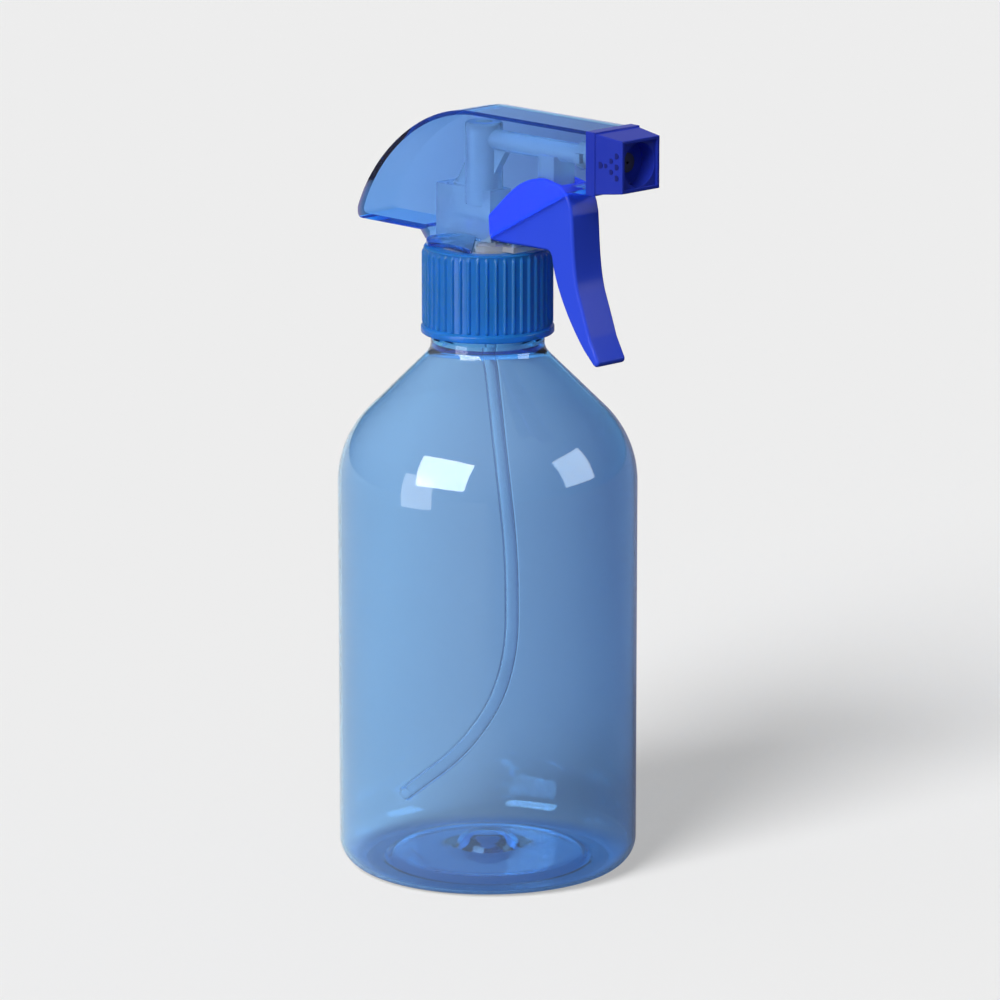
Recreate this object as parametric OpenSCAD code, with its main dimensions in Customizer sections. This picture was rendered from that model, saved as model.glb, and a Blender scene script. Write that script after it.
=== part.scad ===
// Trigger spray bottle: clear round bottle, screw collar and a piston pump under a thin cover.
// Origin: centre of the base, on the surface it stands on. +X is the way it sprays, +Z is up.

/* [Bottle] */
// Outer radius of the body
body_r = 37.5; // [36:0.5:39]
// Height at which the shoulder begins
shoulder_z = 98.5; // [92:0.5:104]
// Wall thickness
wall = 0.8; // [0.6:0.1:1]

/* [Closure] */
// Radius of the collar between its ribs
collar_r = 15.95; // [15.8:0.05:16.2]
// Number of grip ribs
rib_count = 44; // [36:2:48]

/* [Cover] */
// Half width of the cover
cover_half_w = 6.6; // [6.4:0.1:7]
// Wall thickness of the cover
cover_wall = 1.2; // [1:0.1:1.2]

/* [Trigger] */
// Half width of the trigger
trigger_half_w = 4.9; // [4.8:0.1:5]
// Thickness of the trigger's front plate
trigger_wall = 1.4; // [1.2:0.1:1.6]

/* [Nozzle] */
// Half width of the nozzle at its front
nozzle_half_w = 6.45; // [6.3:0.05:6.6]
// Radius of the bore in the nozzle's front
mouth_r = 5.4; // [5:0.1:5.5]

/* [Hidden] */
$fn = 64;

// bottle
heel_r = 6.7;
shoulder_r = 25.6;
shoulder_turn = 45.2;
land_r = 25.5;
push_up_z = 2.6;
dome_r = 9.2;
dome_h = 4.2;
neck_r = 14.2;
neck_bead_z = 135.4;
neck_z = 153.6;
finish_r = 12.55;
neck_bore_r = 11.4;
shoulder_c = body_r - shoulder_r;

// screw thread: 28 mm neck, 6 turns an inch
lead = 25.4 / 6;
thread_turns = 1.5;
thread_top_z = 151;
thread_crest_r = 13.75;
thread_steps = 24;

// closure
collar_low_z = 136.7;
collar_top_z = 158.6;
rib_low_z = 138.6;
rib_top_z = 157.6;
rib_h = 0.35;
rib_share = 0.3;
skirt_r = 14.35;
lip_z = 156.3;
lip_r = 12.1;
inner_crest_r = 13;

// pump body
gasket_h = 1.2;
gasket_r = 13.2;
gasket_bore_r = 10.8;
flange_z = neck_z + gasket_h;
flange_top_z = 156.2;
flange_r = 13.6;
turret_r = 12;
seat_z = 158.9;
seat_top_z = 160.2;
seat_r = 11.5;
seat_from_x = 3.2;
tongue_x = 14.2;
tongue_half_w = 5;
spigot_r = 5.6;
spigot_low_z = 144;
vent_x = 8;
vent_r = 0.6;
rib_half_w = 1;

// cylinder, piston and passages
box_half_w = 3.6;
box_rear_x = -14.4;
box_front_x = 4.8;
box_top_z = 173;
piston_z = 163;
bore_r = 2.75;
chamber_rear_x = -12.6;
piston_rear_x = -6.2;
piston_front_x = -0.8;
piston_cup_depth = 4.2;
piston_cup_r = 1.8;
rod_half = 1.3;
ring_w = 1;
ring_groove_r = 2;
front_ring_x = piston_front_x - 1.6;
rear_ring_x = piston_rear_x + 0.6;
passage_r = 0.6;
passage_x = -11;
feed_z = 157.3;
outlet_z = 170.6;
plug_depth = 1.6;
plug_r = 1.4;

// tower and arm
tower_x = -1;
tower_r = 4.7;
tower_top_z = 188.4;
tower_bore_r = 2.9;
outlet_seat_z = 172;
outlet_ball_r = 2.3;
port_r = 1.2;
jet_z = 185.4;
arm_r = 2.6;
arm_end_x = 34;
arm_bore_r = 1.3;
arm_socket_r = 1.9;
arm_socket_x = arm_end_x - 2.4;
cap_h = 1.1;
cap_stem_z = 184;
spring_wire_r = 0.3;
outlet_spring_r = 2.1;
outlet_spring_turns = 4;
return_spring_r = 1.3;
return_spring_turns = 5;

// inlet
holder_r = 3.6;
holder_top_z = 153;
tube_r = 2;
tube_bore_r = 1.4;
tube_top_z = 150.4;
inlet_bore_r = 2.5;
inlet_ball_r = 1.9;

// trigger
pivot = [24.3, 175.5];
drive_arm = 12.9;
drive_swing = 10;
drive = pivot + drive_arm * [sin(drive_swing), -cos(drive_swing)];
drive_dip = drive_arm * (1 - cos(drive_swing));
pin_r = 1.2;
pin_gap = 0.08;
cheek = 1.05;
pin_skin = 0.4;
lug_half_w = 3.6;
lug_r = 2.7;

// nozzle
cover_front_x = 41.5;
cover_low_x = 2.6;
shelf_half_w = 13.2;
shelf_sweep = 5.2;
shelf_r = 15.2;
shelf_rise = 2.3;
clear_z = 200;
nozzle_gap = 0.3;
nozzle_rear_x = cover_front_x + nozzle_gap;
nozzle_front_x = 53;
nozzle_collar_x = 44.9;
nozzle_collar_half = 7.8;
nozzle_body_half = 7.5;
nozzle_rim = 0.8;
nozzle_recess = 0.7;
mouth_x = 48;
web_x = 46.5;
spigot_out_r = 3.42;
nozzle_bore_r = 3.5;
spigot_end_x = 46.3;
spigot_bore_r = 2.2;
insert_x = 43.6;
orifice_r = 0.4;
insert_r = 1.6;
flow_r = 1.1;
groove_x = 44.1;
groove_w = 1;
groove_r = 2.75;
seal_wire_r = 0.36;

// Points of an arc round a centre, from one angle to another
function arc(c, r, from, to, steps = 8) =
    [for (i = [0:steps]) let (a = from + (to - from) * i / steps) c + r * [cos(a), sin(a)]];

// Points of a smooth curve that leaves a along b - a and reaches d along d - c
function curve(a, b, c, d, steps = 8) =
    [for (i = [0:steps]) let (t = i / steps, u = 1 - t)
        u * u * u * a + 3 * u * u * t * b + 3 * u * t * t * c + t * t * t * d];

// A shape drawn in the X-Z plane, given thickness from -half_w to half_w along Y
module slab(half_w) {
    rotate([90, 0, 0])
        linear_extrude(2 * half_w, center = true)
            children();
}

// A rod along X between two places, on the X-Z plane at height z
module rod_x(x0, x1, z, r) {
    translate([x0, 0, z])
        rotate([0, 90, 0])
            cylinder(h = x1 - x0, r = r);
}

// A rod along Y through a point of the X-Z plane
module rod_y(p, half_w, r) {
    translate([p[0], 0, p[1]])
        rotate([90, 0, 0])
            cylinder(h = 2 * half_w, r = r, center = true);
}

// A right-handed ridge that winds down from top_z, faded out at both ends. root and crest are radii.
module helix_ridge(root, crest, top_z, root_h, crest_h) {
    rings = thread_turns * thread_steps;
    function fade(i) = min(1, i / 3, (rings - i) / 3);
    function ring(i) =
        let (a = -360 * i / thread_steps, z = top_z - lead * i / thread_steps,
             out = root + (crest - root) * max(0.1, fade(i)))
        [for (p = [[root, -root_h / 2], [out, -crest_h / 2], [out, crest_h / 2], [root, root_h / 2]])
            [p[0] * cos(a), p[0] * sin(a), z + p[1]]];
    tube_mesh([for (i = [0:rings]) ring(i)], root < crest);
}

// A closed solid through rings of points that all have the same count
module tube_mesh(rings, flip = false) {
    n = len(rings[0]);
    last = (len(rings) - 1) * n;
    sides = [for (k = [0:len(rings) - 2], j = [0:n - 1])
        let (a = k * n + j, b = k * n + (j + 1) % n)
        [a, b, b + n, a + n]];
    ends = [[for (j = [n - 1:-1:0]) j], [for (j = [0:n - 1]) last + j]];
    faces = concat(sides, ends);
    polyhedron(
        [for (r = rings) each r],
        flip ? [for (f = faces) [for (j = [len(f) - 1:-1:0]) f[j]]] : faces
    );
}

// A coil spring up the Z axis, its end turns lying closer together
module coil(r, wire, height, turns, steps = 16, sides = 6) {
    rings = turns * steps;
    function rise(t) = wire + (height - 2 * wire) * (t - 0.07 * sin(360 * t));
    tube_mesh([for (i = [0:rings])
        let (a = 360 * i / steps, z = rise(i / rings))
        [for (j = [0:sides - 1])
            let (b = 360 * j / sides, q = r + wire * cos(b))
            [q * cos(a), q * sin(a), z + wire * sin(b)]]], true);
}

module bottle_half() {
    outer_turn = shoulder_r * [cos(shoulder_turn), sin(shoulder_turn)];
    slope = tan(90 - shoulder_turn);
    cone_r = shoulder_c + outer_turn[0];
    cone_z = shoulder_z + outer_turn[1];
    inner_cone_r = shoulder_c + (shoulder_r - wall) * cos(shoulder_turn);
    inner_cone_z = shoulder_z + (shoulder_r - wall) * sin(shoulder_turn);
    dome_top = push_up_z + dome_h;
    polygon(concat(
        [[0, dome_top]],
        curve([3, dome_top - 0.2], [6.5, dome_top - 0.8], [7.4, push_up_z + 0.6], [dome_r, push_up_z], 5),
        [[land_r - 2.2, push_up_z - 0.6], [land_r, 0]],
        arc([body_r - heel_r, heel_r], heel_r, -90, 0, 10),
        arc([shoulder_c, shoulder_z], shoulder_r, 0, shoulder_turn, 14),
        [[neck_r, cone_z + (cone_r - neck_r) * slope],
         [neck_r, neck_bead_z],
         [finish_r, neck_bead_z + 1],
         [finish_r, neck_z],
         [neck_bore_r, neck_z],
         [neck_bore_r, inner_cone_z + (inner_cone_r - neck_bore_r) * slope]],
        arc([shoulder_c, shoulder_z], shoulder_r - wall, shoulder_turn, 0, 14),
        arc([body_r - heel_r, heel_r], heel_r - wall, 0, -90, 10),
        [[land_r + 0.5, wall], [land_r - 1.7, push_up_z - 0.6 + wall]],
        curve([dome_r + 0.5, push_up_z + wall], [8, push_up_z + wall + 0.6],
              [7, dome_top + wall - 0.8], [3, dome_top + wall - 0.2], 5),
        [[0, dome_top + wall]]
    ));
}

module bottle() {
    color("cornflowerblue") {
        rotate_extrude()
            bottle_half();
        helix_ridge(finish_r - 0.3, thread_crest_r, thread_top_z, 2, 0.9);
    }
}

// Outline of the collar with its ribs
module ribbed_circle() {
    pitch = 360 / rib_count;
    polygon([for (i = [0:rib_count - 1], k = [0:3])
        let (side = k < 2 ? -1 : 1, out = k == 1 || k == 2,
             a = pitch * (i + side * (rib_share / 2 + (out ? 0 : 0.12))),
             r = collar_r + (out ? rib_h : 0))
        r * [cos(a), sin(a)]]);
}

module closure() {
    band_r = collar_r + rib_h + 0.35;
    color("royalblue") {
        difference() {
            union() {
                translate([0, 0, rib_low_z])
                    linear_extrude(rib_top_z - rib_low_z)
                        ribbed_circle();
                rotate_extrude()
                    polygon([[0, collar_low_z], [band_r - 0.3, collar_low_z], [band_r, collar_low_z + 0.3],
                             [band_r, rib_low_z], [collar_r - 0.5, rib_low_z + 0.6],
                             [collar_r - 0.5, rib_top_z - 0.2], [collar_r, rib_top_z],
                             [collar_r - 0.7, collar_top_z], [0, collar_top_z]]);
            }
            translate([0, 0, collar_low_z - 1])
                cylinder(h = lip_z - collar_low_z + 1, r = skirt_r);
            cylinder(h = collar_top_z + 1, r = lip_r);
        }
        helix_ridge(skirt_r + 0.3, inner_crest_r, thread_top_z - lead / 2, 1.8, 0.8);
    }
}

module neck_gasket() {
    color("whitesmoke")
        translate([0, 0, neck_z])
            difference() {
                cylinder(h = gasket_h, r = gasket_r);
                translate([0, 0, -1])
                    cylinder(h = gasket_h + 2, r = gasket_bore_r);
            }
}

// Plan of what lies between x and far_x, with the slanted edge in which the cover's shelf ends at x
module front_of_shelf(x, far_x) {
    near = [x, cover_half_w];
    wide = [x + shelf_sweep, shelf_half_w];
    polygon([near, wide, [far_x, shelf_half_w], [far_x, -shelf_half_w],
             [wide[0], -wide[1]], [near[0], -near[1]]]);
}

// Everything of the pump body that is solid before its passages are cored
module pump_mass() {
    translate([0, 0, flange_z])
        cylinder(h = flange_top_z - flange_z, r = flange_r);
    translate([0, 0, flange_z])
        cylinder(h = seat_z - flange_z, r = turret_r);
    translate([0, 0, spigot_low_z])
        cylinder(h = flange_z - spigot_low_z + 0.5, r = spigot_r);
    intersection() {
        translate([0, 0, seat_z - 0.5])
            cylinder(h = seat_top_z - seat_z + 0.5, r = seat_r);
        linear_extrude(clear_z)
            front_of_shelf(seat_from_x, 20);
    }
    translate([seat_from_x, -tongue_half_w, seat_z])
        cube([tongue_x - seat_from_x, 2 * tongue_half_w, seat_top_z - seat_z]);
    translate([box_rear_x, -box_half_w, seat_z])
        cube([box_front_x - box_rear_x, 2 * box_half_w, box_top_z - seat_z]);
    translate([passage_x, -box_half_w, seat_z - 1])
        cube([box_front_x - passage_x, 2 * box_half_w, 2]);
    translate([tower_x, 0, box_top_z - 4])
        cylinder(h = tower_top_z - box_top_z + 4, r = tower_r);
    // webs that stiffen the tower from behind and the arm from below
    slab(rib_half_w)
        polygon([[-12.4, box_top_z - 1], [-9.4, box_top_z + 1.4],
                 [tower_x - 4, box_top_z + 9], [tower_x, box_top_z - 1]]);
    rod_x(tower_x, arm_end_x, jet_z, arm_r);
    slab(rib_half_w)
        polygon([[tower_x + 4, 176], [tower_x + 9, jet_z - 1.6], [tower_x + 4, jet_z - 1]]);
}

// Lug that hangs from the arm and carries the pivot
module pivot_lug() {
    difference() {
        slab(lug_half_w)
            polygon(concat(
                arc(pivot, lug_r, 180, 360, 12),
                [[pivot[0] + lug_r, jet_z - 1], [pivot[0] - lug_r, jet_z - 1]]
            ));
        rod_y(pivot, lug_half_w + 1, pin_r + pin_gap);
    }
}

module pump_body() {
    color("ghostwhite")
        difference() {
            union() {
                pump_mass();
                pivot_lug();
            }
            // cylinder, open to the front
            rod_x(chamber_rear_x, box_front_x + 1, piston_z, bore_r);
            // socket for the tube holder, and the inlet above it
            translate([0, 0, spigot_low_z - 1])
                cylinder(h = holder_top_z - spigot_low_z + 1, r = holder_r);
            translate([0, 0, holder_top_z - 1])
                cylinder(h = feed_z - holder_top_z + 1.4, r = inlet_bore_r);
            // inlet passage back to the chamber, then outlet passage up and forward to the tower
            rod_x(passage_x, 1, feed_z, passage_r);
            translate([passage_x, 0, feed_z])
                cylinder(h = outlet_z - feed_z, r = passage_r);
            rod_x(box_rear_x - 1, tower_x + 1, outlet_z, passage_r);
            rod_x(box_rear_x - 1, box_rear_x + plug_depth, outlet_z, plug_r);
            // tower: seat and bore
            translate([tower_x, 0, outlet_z])
                cylinder(h = 3, r = port_r);
            translate([tower_x, 0, outlet_seat_z])
                cylinder(h = tower_top_z - outlet_seat_z + 1, r = tower_bore_r);
            rod_x(tower_x, arm_end_x + 1, jet_z, arm_bore_r);
            rod_x(arm_socket_x, arm_end_x + 1, jet_z, arm_socket_r);
            // vent from the open front of the cylinder down into the bottle
            translate([vent_x, 0, flange_z - 1])
                cylinder(h = seat_top_z, r = vent_r);
        }
}

module tube_holder() {
    color("lavender")
        difference() {
            union() {
                translate([0, 0, spigot_low_z + 0.6])
                    cylinder(h = holder_top_z - spigot_low_z - 0.6, r = holder_r);
                translate([0, 0, spigot_low_z - 1.4])
                    cylinder(h = 1.4, r = spigot_r);
                translate([0, 0, spigot_low_z - 0.1])
                    cylinder(h = 1, r = holder_r);
            }
            translate([0, 0, spigot_low_z - 3])
                cylinder(h = tube_top_z - spigot_low_z + 3, r = tube_r);
            cylinder(h = holder_top_z + 1, r = port_r);
            // seat for the inlet ball
            translate([0, 0, holder_top_z - 0.8])
                rotate_extrude()
                    polygon([[0, 0], [port_r, 0], [port_r + 1, 0.9], [0, 0.9]]);
        }
}

module inlet_ball() {
    color("gainsboro")
        translate([0, 0, holder_top_z + 0.7])
            sphere(r = inlet_ball_r);
}

// Bends of the dip tube, from the top: [straight length, bend radius, bend angle towards +X]
TUBE_RUN = [[tube_top_z - 142.6, 80, 9], [39.1, 140, -9], [5, 45, -38], [1, 80, -16]];
tube_last = 16;

// Direction in the X-Z plane that leans by angle a from straight down
function heading(a) = [sin(a), -cos(a)];

// Stations of the dip tube's centre line: [place, lean], from place p with lean a
function tube_stations(p, a, i = 0) =
    i == len(TUBE_RUN) ? [[p, a], [p + tube_last * heading(a), a]] :
    let (bend_r = TUBE_RUN[i][1], turn = TUBE_RUN[i][2], side = sign(turn),
         q = p + TUBE_RUN[i][0] * heading(a),
         c = q + side * bend_r * [cos(a), sin(a)],
         steps = ceil(abs(turn) / 5),
         bend = [for (k = [0:steps]) let (b = a + turn * k / steps)
             [c - side * bend_r * [cos(b), sin(b)], b]])
    concat([[p, a]], [for (k = [0:steps - 1]) bend[k]], tube_stations(bend[steps][0], a + turn, i + 1));

module dip_tube(sides = 12) {
    stations = tube_stations([0, tube_top_z], 0);
    n = 2 * sides;
    last = len(stations) - 1;
    points = [for (s = stations, r = [tube_r, tube_bore_r], j = [0:sides - 1])
        let (b = 360 * j / sides, out = r * cos(b))
        [s[0][0] + out * cos(s[1]), r * sin(b), s[0][1] + out * sin(s[1])]];
    outside = [for (k = [0:last - 1], j = [0:sides - 1]) let (m = (j + 1) % sides)
        [k * n + j, k * n + m, (k + 1) * n + m, (k + 1) * n + j]];
    inside = [for (f = outside) [for (i = [3:-1:0]) f[i] + sides]];
    ends = [for (j = [0:sides - 1]) let (m = (j + 1) % sides)
        each [[j, j + sides, m + sides, m],
              [last * n + m, last * n + m + sides, last * n + j + sides, last * n + j]]];
    color("aliceblue")
        polyhedron(points, concat(outside, inside, ends));
}

module channel_plug() {
    color("ghostwhite")
        rod_x(box_rear_x - 0.6, box_rear_x + plug_depth, outlet_z, plug_r);
}

module piston() {
    yoke_x = drive[0];
    yoke_z = drive[1] - drive_dip / 2;
    slot_r = pin_r + pin_gap;
    color("royalblue")
        difference() {
            union() {
                rod_x(piston_rear_x, piston_front_x, piston_z, bore_r - 0.25);
                translate([piston_front_x - 0.5, -rod_half, piston_z - rod_half])
                    cube([yoke_x - piston_front_x, 2 * rod_half, 2 * rod_half]);
                translate([yoke_x - 2.6, -2.4, yoke_z - 1.9])
                    cube([4.6, 4.8, 3.8]);
            }
            rod_x(piston_rear_x - 1, piston_rear_x + piston_cup_depth, piston_z, piston_cup_r);
            for (x = [rear_ring_x, front_ring_x])
                difference() {
                    rod_x(x, x + ring_w, piston_z, bore_r + 1);
                    rod_x(x - 1, x + ring_w + 1, piston_z, ring_groove_r);
                }
            for (dz = [-drive_dip / 2, drive_dip / 2])
                rod_y([yoke_x, yoke_z + dz], 3, slot_r);
            translate([yoke_x - slot_r, -3, yoke_z - drive_dip / 2])
                cube([2 * slot_r, 6, drive_dip]);
        }
}

// Ring seal of the piston, filling its groove from x on
module piston_seal(x) {
    color("white")
        difference() {
            rod_x(x, x + ring_w, piston_z, bore_r - 0.04);
            rod_x(x - 1, x + ring_w + 1, piston_z, ring_groove_r);
        }
}

module piston_seal_front() {
    piston_seal(front_ring_x);
}

module piston_seal_rear() {
    piston_seal(rear_ring_x);
}

module return_spring() {
    color("silver")
        translate([chamber_rear_x + 0.05, 0, piston_z])
            rotate([0, 90, 0])
                coil(return_spring_r, spring_wire_r, piston_rear_x + piston_cup_depth - chamber_rear_x - 0.1,
                     return_spring_turns);
}

// height of the outlet ball's centre when it rests on its seat
outlet_ball_z = outlet_seat_z + sqrt(outlet_ball_r * outlet_ball_r - port_r * port_r);

module outlet_ball() {
    color("gainsboro")
        translate([tower_x, 0, outlet_ball_z + 0.02])
            sphere(r = outlet_ball_r);
}

module outlet_spring() {
    reach = outlet_ball_r + spring_wire_r;
    low_z = outlet_ball_z + sqrt(reach * reach - outlet_spring_r * outlet_spring_r) - spring_wire_r + 0.05;
    color("silver")
        translate([tower_x, 0, low_z])
            coil(outlet_spring_r, spring_wire_r, cap_stem_z - low_z - 0.05, outlet_spring_turns);
}

module tower_cap() {
    color("ghostwhite")
        difference() {
            translate([tower_x, 0, 0])
                rotate_extrude()
                    polygon([[0, cap_stem_z], [2.4, cap_stem_z], [2.4, cap_stem_z + 0.5], [1, cap_stem_z + 1],
                             [1, tower_top_z - 1], [tower_bore_r, tower_top_z - 1], [tower_bore_r, tower_top_z],
                             [tower_r, tower_top_z], [tower_r, tower_top_z + cap_h - 0.4],
                             [tower_r - 0.4, tower_top_z + cap_h], [0, tower_top_z + cap_h]]);
            translate([tower_x, 0, tower_top_z + cap_h - 0.4])
                cylinder(h = 1, r = 2.2);
        }
}

module nozzle_holder() {
    color("ghostwhite")
        difference() {
            union() {
                rod_x(arm_socket_x, arm_end_x + 0.5, jet_z, arm_socket_r);
                rod_x(arm_end_x, 38, jet_z, 3.6);
                rod_x(37, spigot_end_x, jet_z, spigot_out_r);
                translate([arm_end_x + 1, -4.8, jet_z - 1.2])
                    cube([2, 9.6, 2.4]);
            }
            rod_x(arm_end_x - 3, spigot_end_x, jet_z, flow_r);
            rod_x(insert_x, spigot_end_x + 1, jet_z, spigot_bore_r);
            difference() {
                rod_x(groove_x, groove_x + groove_w, jet_z, spigot_out_r + 1);
                rod_x(groove_x - 0.1, groove_x + groove_w + 0.1, jet_z, groove_r);
            }
        }
}

module nozzle_seal() {
    color("dimgray")
        translate([groove_x + groove_w / 2, 0, jet_z])
            rotate([0, 90, 0])
                rotate_extrude()
                    translate([groove_r + seal_wire_r, 0])
                        circle(r = seal_wire_r, $fn = 24);
}

module swirl_insert() {
    color("white")
        difference() {
            rod_x(insert_x, spigot_end_x - 0.1, jet_z, spigot_bore_r);
            rod_x(spigot_end_x - 0.9, spigot_end_x + 1, jet_z, 0.7);
            for (a = [0, 120, 240])
                translate([0, 0, jet_z])
                    rotate([a, 0, 0]) {
                        translate([insert_x - 1, -0.35, 1.6])
                            cube([4, 0.7, 1]);
                        translate([spigot_end_x - 0.6, 0.1, 0])
                            cube([1, 0.5, 2.4]);
                    }
        }
}

// Front edge of the trigger from the top down, d further in
function trigger_front(d) =
    [for (p = concat([[33.6, 173.4]],
                     curve([34.2, 171], [34.7, 166], [34.6, 158], [36.6, 151.6], 6),
                     [[40.6, 140.9]]))
        p - [d, 0.3 * d]];

// Side outline of the trigger: front edge down, blunt tip, back edge up, cheeks and hump
function trigger_outline() = concat(
    [[31.6, 176.9]],
    trigger_front(0),
    arc([42.3, 135.6], 1.1, 20, -135, 5),
    curve([38.4, 137.9], [33.5, 143.6], [28.4, 152], [27.1, 159.8], 6),
    [[26.4, 161.2], [19, 161.2], [11.4, 161], [5.2, 161.1], [4.9, 167.4]],
    curve([11.2, 173], [15.6, 177], [20, 178.9], [25, 178.9], 5),
    [[28.8, 178.4]]
);

// Hollow between the cheeks, open to the rear and at the top
function trigger_hollow() = concat(
    [[30.4, 175.2]],
    trigger_front(trigger_wall),
    [[30, 130], [0, 150], [0, 173], [14, 190], [28, 190]]
);

module trigger() {
    color("mediumblue")
        difference() {
            slab(trigger_half_w)
                polygon(trigger_outline());
            slab(trigger_half_w - cheek)
                polygon(trigger_hollow());
            rod_y(pivot, trigger_half_w - pin_skin, pin_r);
            rod_y(drive, trigger_half_w - pin_skin, pin_r);
        }
}

module pivot_pin() {
    color("silver")
        rod_y(pivot, trigger_half_w - pin_skin, pin_r);
}

module drive_pin() {
    color("silver")
        rod_y(drive, trigger_half_w - pin_skin, pin_r);
}

// Side outline of the cover, drawn in by d from its outside
function cover_outline(d) = concat(
    [[cover_front_x - d, 177.4 + d], [cover_front_x - d, 193 - d]],
    curve([1, 193 - d], [-16, 193 - d], [-34.2 + d, 179], [-40 + 1.1 * d, 163.6], 12),
    [[-40 + 1.2 * d, 161.9 + d * 0.4], [-39.2 + d, 161 + d], [-17.2 + d * 0.6, 161 + d]]
);

module cover_side() {
    polygon(concat(cover_outline(0), [[-15.4, seat_z + 0.3], [cover_low_x, seat_z + 0.3],
                                     [cover_low_x, 160.2], [34, 177]]));
}

module shroud() {
    inner_w = cover_half_w - cover_wall;
    base_z = seat_z + 0.3;
    color("lightskyblue")
        difference() {
            union() {
                slab(cover_half_w)
                    cover_side();
                // shelf that covers the top of the collar round the pump's turret
                intersection() {
                    rotate_extrude()
                        polygon([[0, base_z], [shelf_r, base_z], [shelf_r, base_z + 0.9],
                                 [6, base_z + 0.9 + shelf_rise], [0, base_z + 0.9 + shelf_rise]]);
                    linear_extrude(clear_z)
                        front_of_shelf(cover_low_x, -16);
                }
            }
            // hollow, open along the slanted underside where the trigger swings
            slab(inner_w)
                polygon(concat(cover_outline(cover_wall),
                               [[-14.8, seat_z + 2], [-14.8, seat_z - 1], [10, seat_z - 1], [30, 170],
                                [33.8, 174], [34.6, 177.4 + cover_wall]]));
            // room under the shelf
            intersection() {
                rotate_extrude()
                    polygon([[0, base_z - 1], [shelf_r - 1, base_z - 1], [shelf_r - 1, base_z],
                             [6, base_z + 2.1], [0, base_z + 2.1]]);
                translate([-14, -20, base_z - 2])
                    cube([40, 40, 10]);
            }
            rod_x(cover_front_x - 3, cover_front_x + 1, jet_z, 3.7);
        }
}

// Square tapered body of the nozzle, from one place along X to another
module square_taper(x0, half0, x1, half1) {
    intersection() {
        slab(half0 + 1)
            polygon([[x0, jet_z - half0], [x1, jet_z - half1], [x1, jet_z + half1], [x0, jet_z + half0]]);
        translate([0, 0, jet_z - half0 - 1])
            linear_extrude(2 * half0 + 2)
                polygon([[x0, -half0], [x1, -half1], [x1, half1], [x0, half0]]);
    }
}

module nozzle() {
    rim = nozzle_half_w - nozzle_rim;
    color("blue")
        difference() {
            union() {
                translate([nozzle_rear_x, -nozzle_collar_half, jet_z - nozzle_collar_half])
                    cube([nozzle_collar_x - nozzle_rear_x, 2 * nozzle_collar_half, 2 * nozzle_collar_half]);
                square_taper(nozzle_collar_x - 0.5, nozzle_body_half, nozzle_front_x, nozzle_half_w);
            }
            rod_x(nozzle_rear_x - 1, web_x, jet_z, nozzle_bore_r);
            rod_x(web_x - 1, mouth_x + 1, jet_z, insert_r);
            rod_x(mouth_x, nozzle_front_x + 1, jet_z, mouth_r);
            translate([nozzle_front_x - nozzle_recess, -rim, jet_z - rim])
                cube([2, 2 * rim, 2 * rim]);
        }
}

module orifice_insert() {
    color("navy")
        difference() {
            union() {
                rod_x(web_x, mouth_x + 0.4, jet_z, insert_r);
                rod_x(mouth_x, mouth_x + 0.4, jet_z, 2.4);
            }
            rod_x(web_x - 1, mouth_x + 1, jet_z, orifice_r);
            rod_x(web_x - 1, web_x + 0.8, jet_z, 0.9);
        }
}

bottle();
closure();
neck_gasket();
pump_body();
tube_holder();
dip_tube();
inlet_ball();
channel_plug();
piston();
piston_seal_front();
piston_seal_rear();
return_spring();
outlet_ball();
outlet_spring();
tower_cap();
nozzle_holder();
swirl_insert();
nozzle_seal();
trigger();
pivot_pin();
drive_pin();
shroud();
nozzle();
orifice_insert();
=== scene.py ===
"""Looks of the trigger spray bottle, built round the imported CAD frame. Metres, +X sprays, +Z up."""
import math

import bmesh
import bpy
from mathutils import Matrix, Vector

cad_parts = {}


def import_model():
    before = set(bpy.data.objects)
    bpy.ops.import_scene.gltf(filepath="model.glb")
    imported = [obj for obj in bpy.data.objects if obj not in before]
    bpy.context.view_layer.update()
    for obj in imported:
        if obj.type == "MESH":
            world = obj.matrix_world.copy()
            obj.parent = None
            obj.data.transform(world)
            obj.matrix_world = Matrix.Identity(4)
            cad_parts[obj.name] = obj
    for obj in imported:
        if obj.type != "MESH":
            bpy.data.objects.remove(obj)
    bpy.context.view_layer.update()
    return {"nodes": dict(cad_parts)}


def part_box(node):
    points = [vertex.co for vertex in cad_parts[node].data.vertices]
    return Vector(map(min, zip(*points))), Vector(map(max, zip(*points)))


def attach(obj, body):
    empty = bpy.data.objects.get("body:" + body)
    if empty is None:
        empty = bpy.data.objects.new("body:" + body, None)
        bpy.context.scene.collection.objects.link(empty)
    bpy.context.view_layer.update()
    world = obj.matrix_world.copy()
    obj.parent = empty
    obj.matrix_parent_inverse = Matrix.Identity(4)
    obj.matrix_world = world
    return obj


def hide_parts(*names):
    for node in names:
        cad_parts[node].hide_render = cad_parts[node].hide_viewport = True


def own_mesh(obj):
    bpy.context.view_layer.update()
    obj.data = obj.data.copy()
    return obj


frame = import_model()
scene = bpy.context.scene
MM = 0.001


# ---------------------------------------------------------------- meshes

def new_object(name, mesh):
    obj = bpy.data.objects.new(name, mesh)
    scene.collection.objects.link(obj)
    return obj


def tidy(mesh, angle=35):
    """Outward normals, no doubled points, smooth shading with edges sharper than the angle kept."""
    bm = bmesh.new()
    bm.from_mesh(mesh)
    bmesh.ops.remove_doubles(bm, verts=bm.verts, dist=1e-7)
    bmesh.ops.recalc_face_normals(bm, faces=bm.faces)
    bm.to_mesh(mesh)
    bm.free()
    for face in mesh.polygons:
        face.use_smooth = True
    mesh.set_sharp_from_angle(angle=math.radians(angle))
    return mesh


def mesh_from(name, points, faces, angle=35):
    """A mesh from points in millimetres."""
    mesh = bpy.data.meshes.new(name)
    mesh.from_pydata([Vector(p) * MM for p in points], [], faces)
    return new_object(name, tidy(mesh, angle))


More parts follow.
